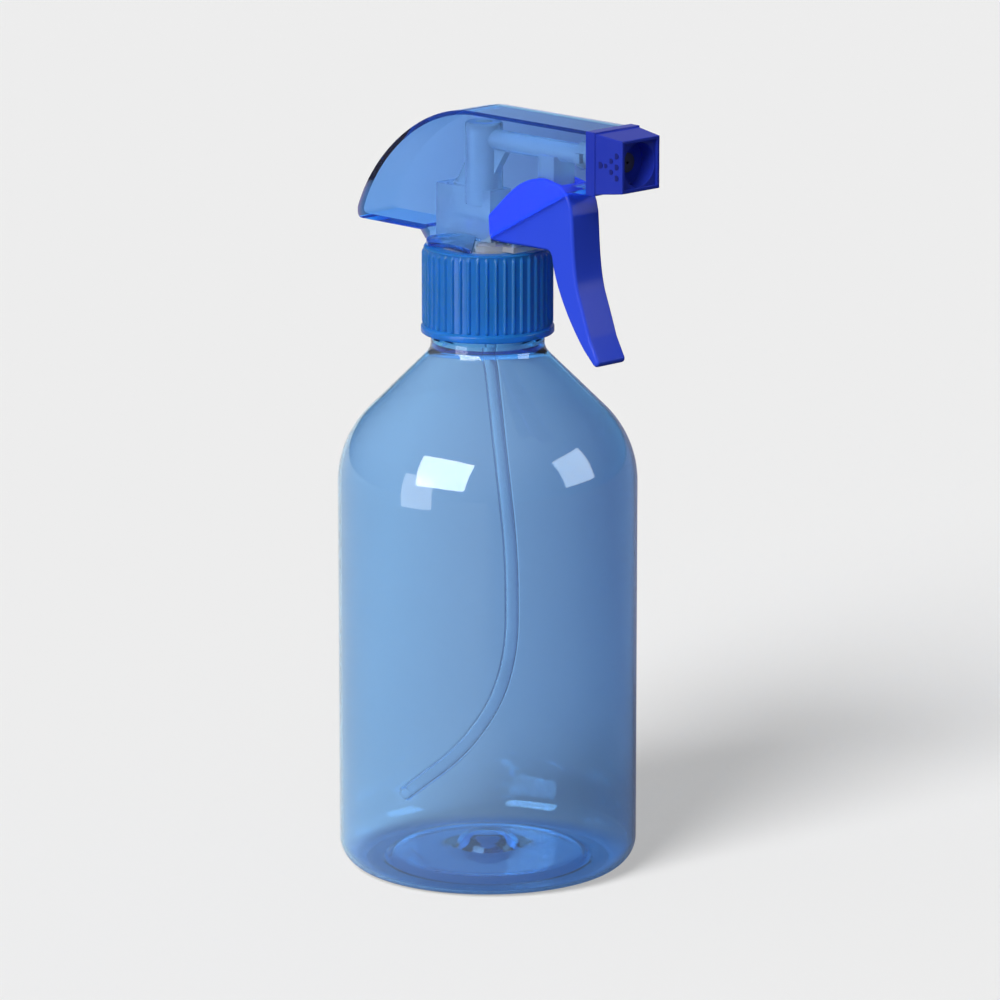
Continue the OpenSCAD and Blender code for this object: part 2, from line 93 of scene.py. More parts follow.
def grid(name, rings, wrap_rings=False, angle=35, caps=False):
    """A surface through rings of points that all have the same count, each ring closed."""
    count = len(rings[0])
    points = [p for ring in rings for p in ring]
    last = len(rings) if wrap_rings else len(rings) - 1
    faces = []
    for k in range(last):
        low, high = k * count, ((k + 1) % len(rings)) * count
        for j in range(count):
            m = (j + 1) % count
            faces.append((low + j, low + m, high + m, high + j))
    if caps:
        faces.append(tuple(range(count)))
        faces.append(tuple((len(rings) - 1) * count + j for j in range(count)))
    return mesh_from(name, points, faces, angle)


def turned(name, profile, steps=160, shape=None, angle=35):
    """A closed profile of (r, z) points turned round the Z axis. shape may move r by angle and height."""
    rings = []
    for r, z in profile:
        ring = []
        for k in range(steps):
            a = 2 * math.pi * k / steps
            q = shape(r, z, a) if shape and r > 0 else r
            ring.append((q * math.cos(a), q * math.sin(a), z))
        rings.append(ring)
    closed = profile[0][0] > 0
    return grid(name, rings, wrap_rings=closed, angle=angle)


def arc(cx, cy, r, start, end, steps=8):
    """Points of an arc, angles in degrees."""
    turns = [math.radians(start + (end - start) * k / steps) for k in range(steps + 1)]
    return [(cx + r * math.cos(t), cy + r * math.sin(t)) for t in turns]


def curve(a, b, c, d, steps=16):
    """Points of a cubic curve from a to d with handles b and c."""
    out = []
    for k in range(steps + 1):
        t = k / steps
        u = 1 - t
        w = (u * u * u, 3 * u * u * t, 3 * u * t * t, t * t * t)
        out.append(tuple(sum(f * p[i] for f, p in zip(w, (a, b, c, d))) for i in (0, 1)))
    return out


def stretch(points, count):
    """count more points between each two of an open run."""
    out = []
    for (x0, y0), (x1, y1) in zip(points, points[1:]):
        for k in range(count + 1):
            t = k / (count + 1)
            out.append((x0 + (x1 - x0) * t, y0 + (y1 - y0) * t))
    return out + [points[-1]]


def slab(name, outline, half_w, angle=35):
    """An outline in the X-Z plane, thick from -half_w to half_w along Y."""
    n = len(outline)
    points = [(x, y, z) for y in (-half_w, half_w) for x, z in outline]
    faces = [tuple(range(n)), tuple(range(2 * n - 1, n - 1, -1))]
    faces += [(k, (k + 1) % n, n + (k + 1) % n, n + k) for k in range(n)]
    return mesh_from(name, points, faces, angle)


def plate(name, outline, low_z, high_z, angle=35):
    """An outline in the X-Y plane, thick from low_z to high_z."""
    n = len(outline)
    points = [(x, y, z) for z in (low_z, high_z) for x, y in outline]
    faces = [tuple(range(n)), tuple(range(2 * n - 1, n - 1, -1))]
    faces += [(k, (k + 1) % n, n + (k + 1) % n, n + k) for k in range(n)]
    return mesh_from(name, points, faces, angle)


def box(name, low, high):
    """A block between two opposite corners."""
    (x0, y0, z0), (x1, y1, z1) = low, high
    points = [(x, y, z) for x in (x0, x1) for y in (y0, y1) for z in (z0, z1)]
    faces = [(0, 1, 3, 2), (4, 6, 7, 5), (0, 4, 5, 1), (2, 3, 7, 6), (0, 2, 6, 4), (1, 5, 7, 3)]
    return mesh_from(name, points, faces)


def rod(name, p0, p1, r0, r1=None, steps=64):
    """A round rod between two points, in millimetres."""
    p0, p1 = Vector(p0), Vector(p1)
    along = (p1 - p0).normalized()
    side = along.orthogonal().normalized()
    other = along.cross(side)
    rings = []
    for p, r in ((p0, r0), (p1, r0 if r1 is None else r1)):
        turns = [2 * math.pi * k / steps for k in range(steps)]
        rings.append([tuple(p + r * (math.cos(t) * side + math.sin(t) * other)) for t in turns])
    return grid(name, rings, caps=True)


def apply_modifiers(obj):
    """Bakes the modifiers of one of this script's own pieces into its mesh."""
    bpy.context.view_layer.update()
    graph = bpy.context.evaluated_depsgraph_get()
    mesh = bpy.data.meshes.new_from_object(obj.evaluated_get(graph), depsgraph=graph)
    obj.modifiers.clear()
    obj.data = mesh
    return obj


def combine(obj, other, operation="DIFFERENCE"):
    """Cuts other out of obj, or joins or crosses the two, and removes other."""
    mod = obj.modifiers.new("combine", "BOOLEAN")
    mod.operation = operation
    mod.solver = "EXACT"
    mod.object = other
    apply_modifiers(obj)
    bpy.data.objects.remove(other)
    return obj


def bevel(obj, width, segments=3, angle=35, keep=False):
    """Rounds the sharp edges of obj by width in millimetres."""
    mod = obj.modifiers.new("edges", "BEVEL")
    mod.width = width * MM
    mod.segments = segments
    mod.limit_method = "ANGLE"
    mod.angle_limit = math.radians(angle)
    mod.use_clamp_overlap = True
    mod.miter_outer = "MITER_ARC"
    if not keep:
        apply_modifiers(obj)
    return obj


def smooth(obj, angle=35):
    """Smooth shading in which the large faces stay flat up to their rounded edges."""
    tidy(obj.data, angle)
    mod = obj.modifiers.new("normals", "WEIGHTED_NORMAL")
    mod.keep_sharp = True
    return apply_modifiers(obj)


# ---------------------------------------------------------------- materials

def node_material(name):
    """A new material, its node tree and its main shader."""
    mat = bpy.data.materials.new(name)
    mat.use_nodes = True
    tree = mat.node_tree
    shader = tree.nodes["Principled BSDF"]
    return mat, tree, shader


def noise(tree, scale, detail=2.0, stretch_by=(1, 1, 1)):
    """3D noise on the object's own coordinates, so that it is the same at every pose."""
    coords = tree.nodes.new("ShaderNodeTexCoord")
    mapping = tree.nodes.new("ShaderNodeMapping")
    mapping.inputs["Scale"].default_value = stretch_by
    tex = tree.nodes.new("ShaderNodeTexNoise")
    tex.inputs["Scale"].default_value = scale
    tex.inputs["Detail"].default_value = detail
    tree.links.new(coords.outputs["Object"], mapping.inputs["Vector"])
    tree.links.new(mapping.outputs["Vector"], tex.inputs["Vector"])
    return tex.outputs["Fac"]


def ranged(tree, value, low, high):
    """Maps a 0 to 1 value to low to high."""
    node = tree.nodes.new("ShaderNodeMapRange")
    node.inputs["To Min"].default_value = low
    node.inputs["To Max"].default_value = high
    tree.links.new(value, node.inputs["Value"])
    return node.outputs["Result"]


def add_bump(tree, shader, value, strength, distance):
    """Relief from a 0 to 1 value; distance is in metres."""
    bump = tree.nodes.new("ShaderNodeBump")
    bump.inputs["Strength"].default_value = strength
    bump.inputs["Distance"].default_value = distance
    tree.links.new(value, bump.inputs["Height"])
    tree.links.new(bump.outputs["Normal"], shader.inputs["Normal"])


def vary_colour(tree, shader, value, low, high):
    """Base colour that drifts between two near tones."""
    mix = tree.nodes.new("ShaderNodeMix")
    mix.data_type = "RGBA"
    mix.inputs["A"].default_value = (*low, 1)
    mix.inputs["B"].default_value = (*high, 1)
    tree.links.new(value, mix.inputs["Factor"])
    tree.links.new(mix.outputs["Result"], shader.inputs["Base Color"])


def clear_plastic(name, low, high, clear, depth_tint, density, rough, ior,
                  grain=40, gloss=0.5, relief=0.03):
    """Tinted clear plastic: colour from skin and depth, a little haze, moulded micro texture."""
    mat, tree, shader = node_material(name)
    shader.inputs["Transmission Weight"].default_value = clear
    shader.inputs["IOR"].default_value = ior
    shader.inputs["Specular IOR Level"].default_value = gloss
    cloud = noise(tree, grain, 3)
    vary_colour(tree, shader, cloud, low, high)
    fine = noise(tree, grain * 9, 2)
    tree.links.new(ranged(tree, fine, *rough), shader.inputs["Roughness"])
    add_bump(tree, shader, cloud, relief, 0.0001)
    absorb = tree.nodes.new("ShaderNodeVolumeAbsorption")
    absorb.inputs["Color"].default_value = (*depth_tint, 1)
    absorb.inputs["Density"].default_value = density
    tree.links.new(absorb.outputs["Volume"], tree.nodes["Material Output"].inputs["Volume"])
    return mat


def frosted_plastic(name, low, high, clear=0.35, rough=(0.35, 0.5), subsurface=0.3, ior=1.49):
    """Natural polypropylene: milky, slightly see-through, silky moulded surface."""
    mat, tree, shader = node_material(name)
    shader.inputs["Transmission Weight"].default_value = clear
    shader.inputs["IOR"].default_value = ior
    shader.inputs["Subsurface Weight"].default_value = subsurface
    shader.inputs["Subsurface Radius"].default_value = (0.002, 0.002, 0.0025)
    cloud = noise(tree, 180, 3)
    vary_colour(tree, shader, cloud, low, high)
    fine = noise(tree, 1400, 2)
    tree.links.new(ranged(tree, fine, *rough), shader.inputs["Roughness"])
    add_bump(tree, shader, fine, 0.12, 0.00005)
    return mat


def soft_rubber(name, low, high, rough):
    """Elastomer: matt, with a fine grain."""
    mat, tree, shader = node_material(name)
    cloud = noise(tree, 900, 3)
    vary_colour(tree, shader, cloud, low, high)
    tree.links.new(ranged(tree, cloud, *rough), shader.inputs["Roughness"])
    add_bump(tree, shader, cloud, 0.1, 0.00005)
    return mat


def drawn_steel(name):
    """Drawn wire and rod: metal with fine streaks."""
    mat, tree, shader = node_material(name)
    shader.inputs["Metallic"].default_value = 1.0
    streak = noise(tree, 1500, 2, (1, 1, 6))
    vary_colour(tree, shader, streak, (0.56, 0.57, 0.59), (0.74, 0.75, 0.77))
    tree.links.new(ranged(tree, streak, 0.18, 0.34), shader.inputs["Roughness"])
    add_bump(tree, shader, streak, 0.08, 0.00002)
    return mat


def valve_glass(name):
    """Polished clear glass."""
    mat, tree, shader = node_material(name)
    shader.inputs["Transmission Weight"].default_value = 0.9
    shader.inputs["IOR"].default_value = 1.5
    cloud = noise(tree, 500, 2)
    vary_colour(tree, shader, cloud, (0.86, 0.92, 0.93), (0.93, 0.96, 0.97))
    tree.links.new(ranged(tree, cloud, 0.02, 0.06), shader.inputs["Roughness"])
    return mat


BOTTLE_BLUE = clear_plastic("clear_blue_pet", (0.60, 0.765, 0.98), (0.63, 0.785, 1.0), 0.93,
                            (0.50, 0.90, 0.99), 520, (0.0, 0.01), ior=1.38, grain=14, relief=0.006)
COVER_BLUE = clear_plastic("cover_blue_clear", (0.95, 0.755, 0.955), (0.99, 0.785, 0.975), 0.985,
                           (0.02, 0.76, 0.935), 560, (0.0, 0.02), ior=1.12)
COLLAR_BLUE = clear_plastic("collar_blue", (0.030, 0.31, 0.74), (0.040, 0.34, 0.80), 0.62,
                            (0.02, 0.55, 0.90), 500, (0.14, 0.22), ior=1.25, grain=50, gloss=0.12)
TRIGGER_BLUE = clear_plastic("trigger_blue", (0.024, 0.066, 0.68), (0.032, 0.078, 0.74), 0.05,
                             (0.02, 0.06, 0.80), 1600, (0.12, 0.2), ior=1.25, gloss=0.15)
NOZZLE_BLUE = clear_plastic("nozzle_blue", (0.020, 0.044, 0.50), (0.028, 0.056, 0.58), 0.28,
                            (0.04, 0.06, 0.72), 1000, (0.08, 0.14), ior=1.2, gloss=0.15)
MARK_BLUE = frosted_plastic("mark_navy", (0.010, 0.016, 0.16), (0.014, 0.022, 0.20), clear=0.0,
                            rough=(0.6, 0.75), subsurface=0.0, ior=1.1)
TUBE_CLEAR = clear_plastic("tube_clear", (0.92, 0.95, 0.99), (0.96, 0.98, 1.0), 0.99,
                           (0.86, 0.92, 0.98), 60, (0.0, 0.02), ior=1.12, grain=80)
PUMP_WHITE = frosted_plastic("pump_natural", (0.72, 0.73, 0.72), (0.78, 0.79, 0.78), clear=0.7,
                             rough=(0.04, 0.1), subsurface=0.0, ior=1.2)
SEAL_WHITE = soft_rubber("seal_white", (0.78, 0.80, 0.83), (0.86, 0.87, 0.89), (0.45, 0.6))
RING_BLACK = soft_rubber("ring_black", (0.012, 0.012, 0.014), (0.03, 0.03, 0.034), (0.4, 0.6))
INSERT_NAVY = frosted_plastic("insert_navy", (0.005, 0.008, 0.05), (0.008, 0.012, 0.07), clear=0.0,
                              subsurface=0.0, ior=1.25)
STEEL = drawn_steel("drawn_steel")
GLASS = valve_glass("valve_glass")


def finish_piece(obj, material, body, nodes):
    """Gives a piece its material, parents it to the body it rides on, and hides the CAD nodes it stands
    for.
    """
    obj.data.materials.clear()
    obj.data.materials.append(material)
    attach(obj, body)
    if nodes:
        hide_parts(*nodes)
    return obj


# ---------------------------------------------------------------- driving sizes, in millimetres

def cad_box(node):
    """Low and high corner of a CAD node, in millimetres."""
    low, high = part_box(node)
    return low / MM, high / MM


_, bottle_high = cad_box("bottle")
BODY_R = bottle_high.x
NECK_TOP = bottle_high.z
WALL = 0.8
SHOULDER_Z = 98.5
SHOULDER_R = 25.6
SHOULDER_TURN = 45.2
HEEL_R = 6.7
LAND_R = 25.5
PUSH_UP = 2.6
DOME_R = 9.2
DOME_H = 4.2
NECK_R = 14.2
NECK_BEAD_Z = 135.4
FINISH_R = 12.55
NECK_BORE = 11.4
LEAD = 25.4 / 6
THREAD_TOP = 151
THREAD_TURNS = 1.5
THREAD_HALF = 1.0
THREAD_FLANK = 0.55
THREAD_FADE = 0.12
CREST_R = 13.75

nozzle_low, nozzle_high = cad_box("nozzle")
JET_Z = (nozzle_low.z + nozzle_high.z) / 2


def thread_height(z, a, top):
    """0 to 1: how far the right-handed thread stands out at height z and angle a."""
    best = 0.0
    turn = (-a / (2 * math.pi)) % 1.0
    for k in range(3):
        t = turn + k
        if t > THREAD_TURNS:
            break
        off = abs(z - (top - LEAD * t))
        fade = min(1.0, t / THREAD_FADE, (THREAD_TURNS - t) / THREAD_FADE)
        best = max(best, fade * min(1.0, max(0.0, (THREAD_HALF - off) / THREAD_FLANK)))
    return best


# ---------------------------------------------------------------- bottle

def bottle_piece():
    cx = BODY_R - SHOULDER_R
    turn = math.radians(SHOULDER_TURN)
    slope = math.tan(math.pi / 2 - turn)

    def cone(radius, inner):
        r = cx + inner * math.cos(turn)
        z = SHOULDER_Z + inner * math.sin(turn)
        return r, z, z + (r - radius) * slope

    _, _, neck_low = cone(NECK_R, SHOULDER_R)
    _, _, bore_low = cone(NECK_BORE, SHOULDER_R - WALL)
    dome = PUSH_UP + DOME_H
    under = [(0, dome)]
    under += curve((3, dome - 0.2), (6.5, dome - 0.8), (7.4, PUSH_UP + 0.6), (DOME_R, PUSH_UP), 10)
    under += curve((14, PUSH_UP - 0.25), (19, PUSH_UP - 0.5), (22.6, PUSH_UP - 0.5), (23.6, 1.6), 8)
    under += curve((24.2, 1.0), (24.8, 0.2), (25.3, 0.0), (LAND_R + 0.8, 0.0), 5)
    outside = arc(BODY_R - HEEL_R, HEEL_R, HEEL_R, -90, 0, 20)
    outside += arc(cx, SHOULDER_Z, SHOULDER_R, 0, SHOULDER_TURN, 28)
    blend = curve((NECK_R + 1.8, neck_low - 1.8 * slope), (NECK_R + 0.6, neck_low - 0.6 * slope),
                  (NECK_R, neck_low + 0.5), (NECK_R, neck_low + 1.8), 10)
    finish = [(NECK_R, NECK_BEAD_Z), (FINISH_R, NECK_BEAD_Z + 1)]
    finish += stretch([(FINISH_R, NECK_BEAD_Z + 1.2), (FINISH_R, NECK_TOP - 0.5)], 70)
    lip = [(FINISH_R - 0.2, NECK_TOP - 0.08), (FINISH_R - 0.4, NECK_TOP), (NECK_BORE + 0.2, NECK_TOP),
           (NECK_BORE, NECK_TOP - 0.2)]
    inside = [(NECK_BORE, bore_low)]
    inside += arc(cx, SHOULDER_Z, SHOULDER_R - WALL, SHOULDER_TURN, 0, 28)
    inside += arc(BODY_R - HEEL_R, HEEL_R, HEEL_R - WALL, 0, -90, 20)
    inside += curve((27.6, WALL), (26.2, WALL + 0.1), (25.4, 1.5), (24.6, 2.2), 6)
    inside += curve((23.4, PUSH_UP + 0.25), (19, PUSH_UP + 0.4), (14, PUSH_UP + 0.55),
                    (DOME_R + 0.6, PUSH_UP + 0.85), 8)
    inside += curve((8.2, PUSH_UP + 1.2), (7.2, dome), (5.5, dome + 0.75), (0, dome + 0.8), 10)

    def shape(r, z, a):
        on_finish = abs(r - FINISH_R) < 0.01 and NECK_BEAD_Z + 1.5 < z < NECK_TOP - 0.6
        return r + (CREST_R - FINISH_R) * thread_height(z, a, THREAD_TOP) if on_finish else r

    obj = turned("bottle_shell", under + outside + blend + finish + lip + inside, 192, shape, 40)
    # Bounced light passes the bottle, so that it does not darken the floor all round.
    obj.visible_diffuse = False
    return finish_piece(obj, BOTTLE_BLUE, "bottle", ["bottle"])


# ---------------------------------------------------------------- closure

COLLAR_LOW = 136.7
COLLAR_TOP = 158.6
RIB_LOW = 138.6
RIB_TOP = 157.6
COLLAR_R = 15.95
RIB_H = 0.42
GROOVE_H = 0.12
RIB_SHARE = 0.24
RIBS = 44
COLLAR_THREAD_H = 1.2
BAND_R = COLLAR_R + 0.7
SKIRT_R = 14.35
LIP_Z = 156.3
LIP_R = 12.1


def closure_piece():
    outside = [(SKIRT_R, COLLAR_LOW), (BAND_R - 0.45, COLLAR_LOW)]
    outside += arc(BAND_R - 0.35, COLLAR_LOW + 0.35, 0.35, -90, 0, 4)
    outside += arc(BAND_R - 0.45, RIB_LOW - 0.55, 0.45, 0, 80, 4)
    ribs = stretch([(COLLAR_R, RIB_LOW + 0.15), (COLLAR_R, RIB_TOP)], 44)
    top = arc(COLLAR_R - 0.6, COLLAR_TOP - 0.6, 0.6, 10, 90, 6)
    top += [(LIP_R + 0.25, COLLAR_TOP), (LIP_R, COLLAR_TOP - 0.25), (LIP_R, LIP_Z), (SKIRT_R, LIP_Z)]
    inner = stretch([(SKIRT_R, LIP_Z - 0.4), (SKIRT_R, COLLAR_LOW + 0.5)], 70)

    def shape(r, z, a):
        if abs(r - COLLAR_R) < 0.01:
            phase = (a * RIBS / (2 * math.pi)) % 1.0
            ridge = max(0.0, 1.0 - (abs(phase - 0.5) / RIB_SHARE) ** 2.2)
            ends = min(1.0, max(0.0, (z - RIB_LOW - 0.1) / 0.5), max(0.0, (RIB_TOP + 0.05 - z) / 0.6))
            return r - GROOVE_H + (RIB_H + GROOVE_H) * ridge * math.sqrt(ends)
        if abs(r - SKIRT_R) < 0.01 and COLLAR_LOW + 1 < z < LIP_Z - 0.5:
            return r - COLLAR_THREAD_H * thread_height(z, a, THREAD_TOP - LEAD / 2)
        return r

    obj = turned("screw_collar", outside + ribs + top + inner, RIBS * 12, shape, 40)
    return finish_piece(obj, COLLAR_BLUE, "collar", ["closure"])


# ---------------------------------------------------------------- cover

COVER_HALF = 6.6
COVER_WALL = 1.2
COVER_FRONT = 41.5
COVER_FRONT_LOW = 177.4
COVER_TOP = 193
COVER_REAR = -40
COVER_UNDER = 161
COVER_LOW_X = 2.6
COVER_BASE = 159.0
SHELF_R = 15.2
SHELF_ROOM_R = 14.2
SHELF_HALF = 13.2
SHELF_SWEEP = 5.2


def cover_outline(d, steps=40):
    """Upper outline of the cover from its front to the rear of its underside, d inside the outer face."""
    rear = COVER_REAR + 1.1 * d
    out = [(COVER_FRONT - d, COVER_FRONT_LOW + d), (COVER_FRONT - d, COVER_TOP - d)]
    out += curve((1, COVER_TOP - d), (-16, COVER_TOP - d), (-34.2 + d, 179), (rear, 163.6), steps)
    out += curve((rear, 163), (rear, 161.6 + d), (-39.6 + d, COVER_UNDER + d),
                 (-38.4 + d, COVER_UNDER + d), 5)
    return out + [(-17.2 + d * 0.6, COVER_UNDER + d)]


def behind_slant(x):
    """The part of the shelf's disc behind a slanted front edge, seen from above."""
    return [(x, COVER_HALF), (x + SHELF_SWEEP, SHELF_HALF), (-16, SHELF_HALF), (-16, -SHELF_HALF),
            (x + SHELF_SWEEP, -SHELF_HALF), (x, -COVER_HALF)]


def cover_piece():
    side = cover_outline(0) + [(-15.4, COVER_BASE), (COVER_LOW_X, COVER_BASE), (COVER_LOW_X, 160.2),
                               (34, 177)]
    obj = slab("cover", side, COVER_HALF, 30)
    shelf = turned("shelf", [(0, COVER_BASE), (SHELF_R, COVER_BASE), (SHELF_R, COVER_BASE + 0.9),
                             (6, COVER_BASE + 3.2), (0, COVER_BASE + 3.2)], 96)
    combine(shelf, plate("cut", behind_slant(COVER_LOW_X), 150, 170), "INTERSECT")
    combine(obj, shelf, "UNION")
    bevel(obj, 0.22, 3, 30)
    hollow = cover_outline(COVER_WALL)
    hollow += [(-14.8, COVER_BASE + 1.7), (-14.8, COVER_BASE - 1.3), (10, COVER_BASE - 1.3), (30, 170),
               (33.8, 174), (34.6, COVER_FRONT_LOW + COVER_WALL)]
    combine(obj, slab("cut", hollow, COVER_HALF - COVER_WALL, 30))
    room = turned("cut", [(0, COVER_BASE - 1), (SHELF_ROOM_R, COVER_BASE - 1), (SHELF_ROOM_R, COVER_BASE),
                          (6, COVER_BASE + 2.1), (0, COVER_BASE + 2.1)], 96)
    combine(room, box("cut2", (-14, -20, COVER_BASE - 2), (26, 20, COVER_BASE + 8)), "INTERSECT")
    combine(obj, room)
    combine(obj, rod("cut", (COVER_FRONT - 3, 0, JET_Z), (COVER_FRONT + 1, 0, JET_Z), 3.7))
    smooth(obj, 28)
    return finish_piece(obj, COVER_BLUE, "head", ["shroud"])


# ---------------------------------------------------------------- trigger

PIVOT = (24.3, 175.5)
DRIVE_ARM = 12.9
DRIVE_LEAN = math.radians(10)
DRIVE = (PIVOT[0] + DRIVE_ARM * math.sin(DRIVE_LEAN), PIVOT[1] - DRIVE_ARM * math.cos(DRIVE_LEAN))
PIN_R = 1.2
PIN_SKIN = 0.4
TRIGGER_HALF = 4.9
CHEEK = 1.05
PLATE = 1.4


def trigger_front(d, steps=20):
    """Front outline of the trigger from top to tip, d behind the face a finger pulls."""
    run = [(33.6, 173.4)] + curve((34.2, 171), (34.7, 166), (34.6, 158), (36.6, 151.6), steps)
    run += curve((37.6, 149.0), (38.7, 146.2), (39.7, 143.4), (40.6, 140.9), 6)
    return [(x - d, z - 0.3 * d) for x, z in run]


def trigger_piece():
    outline = curve((30.2, 177.9), (31.2, 177.3), (32.4, 176.2), (33.0, 174.8), 6)
    outline += trigger_front(0) + arc(42.3, 135.6, 1.1, 20, -135, 10)
    outline += curve((38.4, 137.9), (33.5, 143.6), (28.4, 152), (27.1, 159.8), 20)
    outline += [(26.4, 161.2), (19, 161.2), (11.4, 161), (5.6, 161.1), (5.1, 167.4)]
    outline += curve((11.3, 173), (15.6, 177), (20, 178.9), (25, 178.9), 16)
    obj = slab("finger_trigger", outline, TRIGGER_HALF, 30)
    bevel(obj, 0.75, 5, 40)
    hollow = [(30.4, 175.2)] + trigger_front(PLATE) + [(30, 130), (0, 150), (0, 173), (14, 190), (28, 190)]
    combine(obj, slab("cut", hollow, TRIGGER_HALF - CHEEK, 30))
    for p in (PIVOT, DRIVE):
        deep = TRIGGER_HALF - PIN_SKIN
        combine(obj, rod("cut", (p[0], -deep, p[1]), (p[0], deep, p[1]), PIN_R + 0.01, steps=48))
    bevel(obj, 0.12, 2, 60)
    smooth(obj, 28)
    return finish_piece(obj, TRIGGER_BLUE, "lever", ["trigger"])


# ---------------------------------------------------------------- nozzle

def square_taper(name, x0, half0, x1, half1):
    """A square block along X round the jet's axis, from one half width to another."""
    points = [(x, sy * h, JET_Z + sz * h) for x, h in ((x0, half0), (x1, half1))
              for sy, sz in ((-1, -1), (1, -1), (1, 1), (-1, 1))]
    faces = [(0, 1, 2, 3), (7, 6, 5, 4)] + [(k, (k + 1) % 4, 4 + (k + 1) % 4, 4 + k) for k in range(4)]
    return mesh_from(name, points, faces)


def rod_x(x0, x1, r, steps=72):
    """A rod on the jet's axis."""
    return rod("rod", (x0, 0, JET_Z), (x1, 0, JET_Z), r, steps=steps)


NOZZLE_REAR = 41.8
NOZZLE_COLLAR = 44.9
NOZZLE_FRONT = 53.0
NOZZLE_HALF = 6.45
NOZZLE_HALF_REAR = 7.5
NOZZLE_COLLAR_HALF = 7.8
SOCKET_R = 3.5
PASSAGE_R = 1.6
MOUTH_R = 5.4
MARK_SUNK = 0.15
MARK_PROUD = 0.05


def nozzle_piece():
    obj = square_taper("nozzle_body", NOZZLE_COLLAR - 0.5, NOZZLE_HALF_REAR, NOZZLE_FRONT, NOZZLE_HALF)
    ring = square_taper("collar", NOZZLE_REAR, NOZZLE_COLLAR_HALF, NOZZLE_COLLAR, NOZZLE_COLLAR_HALF)
    combine(obj, ring, "UNION")
    bevel(obj, 0.35, 3, 40)
    combine(obj, rod_x(NOZZLE_REAR - 1, 46.5, SOCKET_R))
    combine(obj, rod_x(45.5, 49, PASSAGE_R))
    combine(obj, rod_x(48, NOZZLE_FRONT + 1, MOUTH_R, 96))
    rim = NOZZLE_HALF - 0.8
    combine(obj, square_taper("cut", NOZZLE_FRONT - 0.7, rim, NOZZLE_FRONT + 1.3, rim + 0.1))
    bevel(obj, 0.1, 2, 50)
    smooth(obj, 28)
    return finish_piece(obj, NOZZLE_BLUE, "nozzle_cap", ["nozzle"])


def nozzle_marks():
    """A generic spray sign on the nozzle's two side faces: a dot and three rows of fanned droplets."""
    made = []
    for side in (-1, 1):
        drops = []
        for row, count in ((1, 1), (2, 2), (3, 3)):
            for k in range(count):
                drops.append((46.3 + 1.6 * row, (k - (count - 1) / 2) * 2.7, 0.5 + 0.08 * row))
        drops.append((46.2, 0.0, 0.85))
        for x, dz, r in drops:
            t = (x - NOZZLE_COLLAR + 0.5) / (NOZZLE_FRONT - NOZZLE_COLLAR + 0.5)
            y = NOZZLE_HALF_REAR + (NOZZLE_HALF - NOZZLE_HALF_REAR) * t
            sunk = (x, side * (y - MARK_SUNK), JET_Z + dz)
            proud = (x, side * (y + MARK_PROUD), JET_Z + dz)
            made.append(rod("drop", sunk, proud, r, steps=24))
    return made


# ---------------------------------------------------------------- dip tube and springs

TUBE_TOP = 150.4
TUBE_RUN = ((TUBE_TOP - 142.6, 80, 9), (39.1, 140, -9), (5, 45, -38), (1, 80, -16))
TUBE_LAST = 16
TUBE_R = 2.0
TUBE_BORE = 1.4
WIRE_R = 0.3
RETURN_COIL_R = 1.3
OUTLET_COIL_R = 2.1


def tube_stations():
    """Places and leans along the dip tube's centre line."""
    p, lean, out = Vector((0, TUBE_TOP)), 0.0, []
    for straight, bend_r, turn in TUBE_RUN:
        out.append((p.copy(), lean))
        p = p + straight * Vector((math.sin(lean), -math.cos(lean)))
        side = 1 if turn > 0 else -1
        c = p + side * bend_r * Vector((math.cos(lean), math.sin(lean)))
        steps = math.ceil(abs(turn) / 1.5)
        for k in range(steps + 1):
            b = lean + math.radians(turn) * k / steps
            q = c - side * bend_r * Vector((math.cos(b), math.sin(b)))
            out.append((q, b))
        p, lean = q, b
    out.append((p + TUBE_LAST * Vector((math.sin(lean), -math.cos(lean))), lean))
    return out


def dip_tube_piece():
    sides = 28
    rings = []
    stations = tube_stations()
    for radius, run in ((TUBE_R, stations), (TUBE_BORE, list(reversed(stations)))):
        for p, lean in run:
            ring = []
            for k in range(sides):
                b = 2 * math.pi * k / sides
                out = radius * math.cos(b)
                x, z = p[0] + out * math.cos(lean), p[1] + out * math.sin(lean)
                ring.append((x, radius * math.sin(b), z))
            rings.append(ring)
    obj = grid("dip_tube_clear", rings, wrap_rings=True)
    return finish_piece(obj, TUBE_CLEAR, "head", ["dip_tube"])


def coil_points(r, wire, height, turns, steps=40, sides=12):
    """Rings of points along a coil about the Z axis, closer together at its ends."""
    rings = []
    for k in range(turns * steps + 1):
        a = 2 * math.pi * k / steps
        t = k / (turns * steps)
        z = wire + (height - 2 * wire) * (t - 0.07 * math.sin(2 * math.pi * t))
        ring = []
        for j in range(sides):
            b = 2 * math.pi * j / sides
            q = r + wire * math.cos(b)
            ring.append((q * math.cos(a), q * math.sin(a), z + wire * math.sin(b)))
        rings.append(ring)
    return rings


def return_spring_piece():
    low, high = cad_box("return_spring")
    length = high.x - low.x
    rings = coil_points(RETURN_COIL_R, WIRE_R, length, 5)
    z0 = (low.z + high.z) / 2
    rings = [[(low.x + z, y, z0 - x) for x, y, z in ring] for ring in rings]
    obj = grid("return_coil", rings, caps=True)
    finish_piece(obj, STEEL, "head", ["return_spring"])
    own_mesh(obj)
    return obj


def outlet_spring_piece():
    low, high = cad_box("outlet_spring")
    x0 = (low.x + high.x) / 2
    length = high.z - low.z
    rings = coil_points(OUTLET_COIL_R, WIRE_R, length, 4)
    rings = [[(x0 + x, y, low.z + z) for x, y, z in ring] for ring in rings]
    obj = grid("outlet_coil", rings, caps=True)
    finish_piece(obj, STEEL, "head", ["outlet_spring"])
    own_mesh(obj)
    return obj


# ---------------------------------------------------------------- CAD nodes that stay to be seen

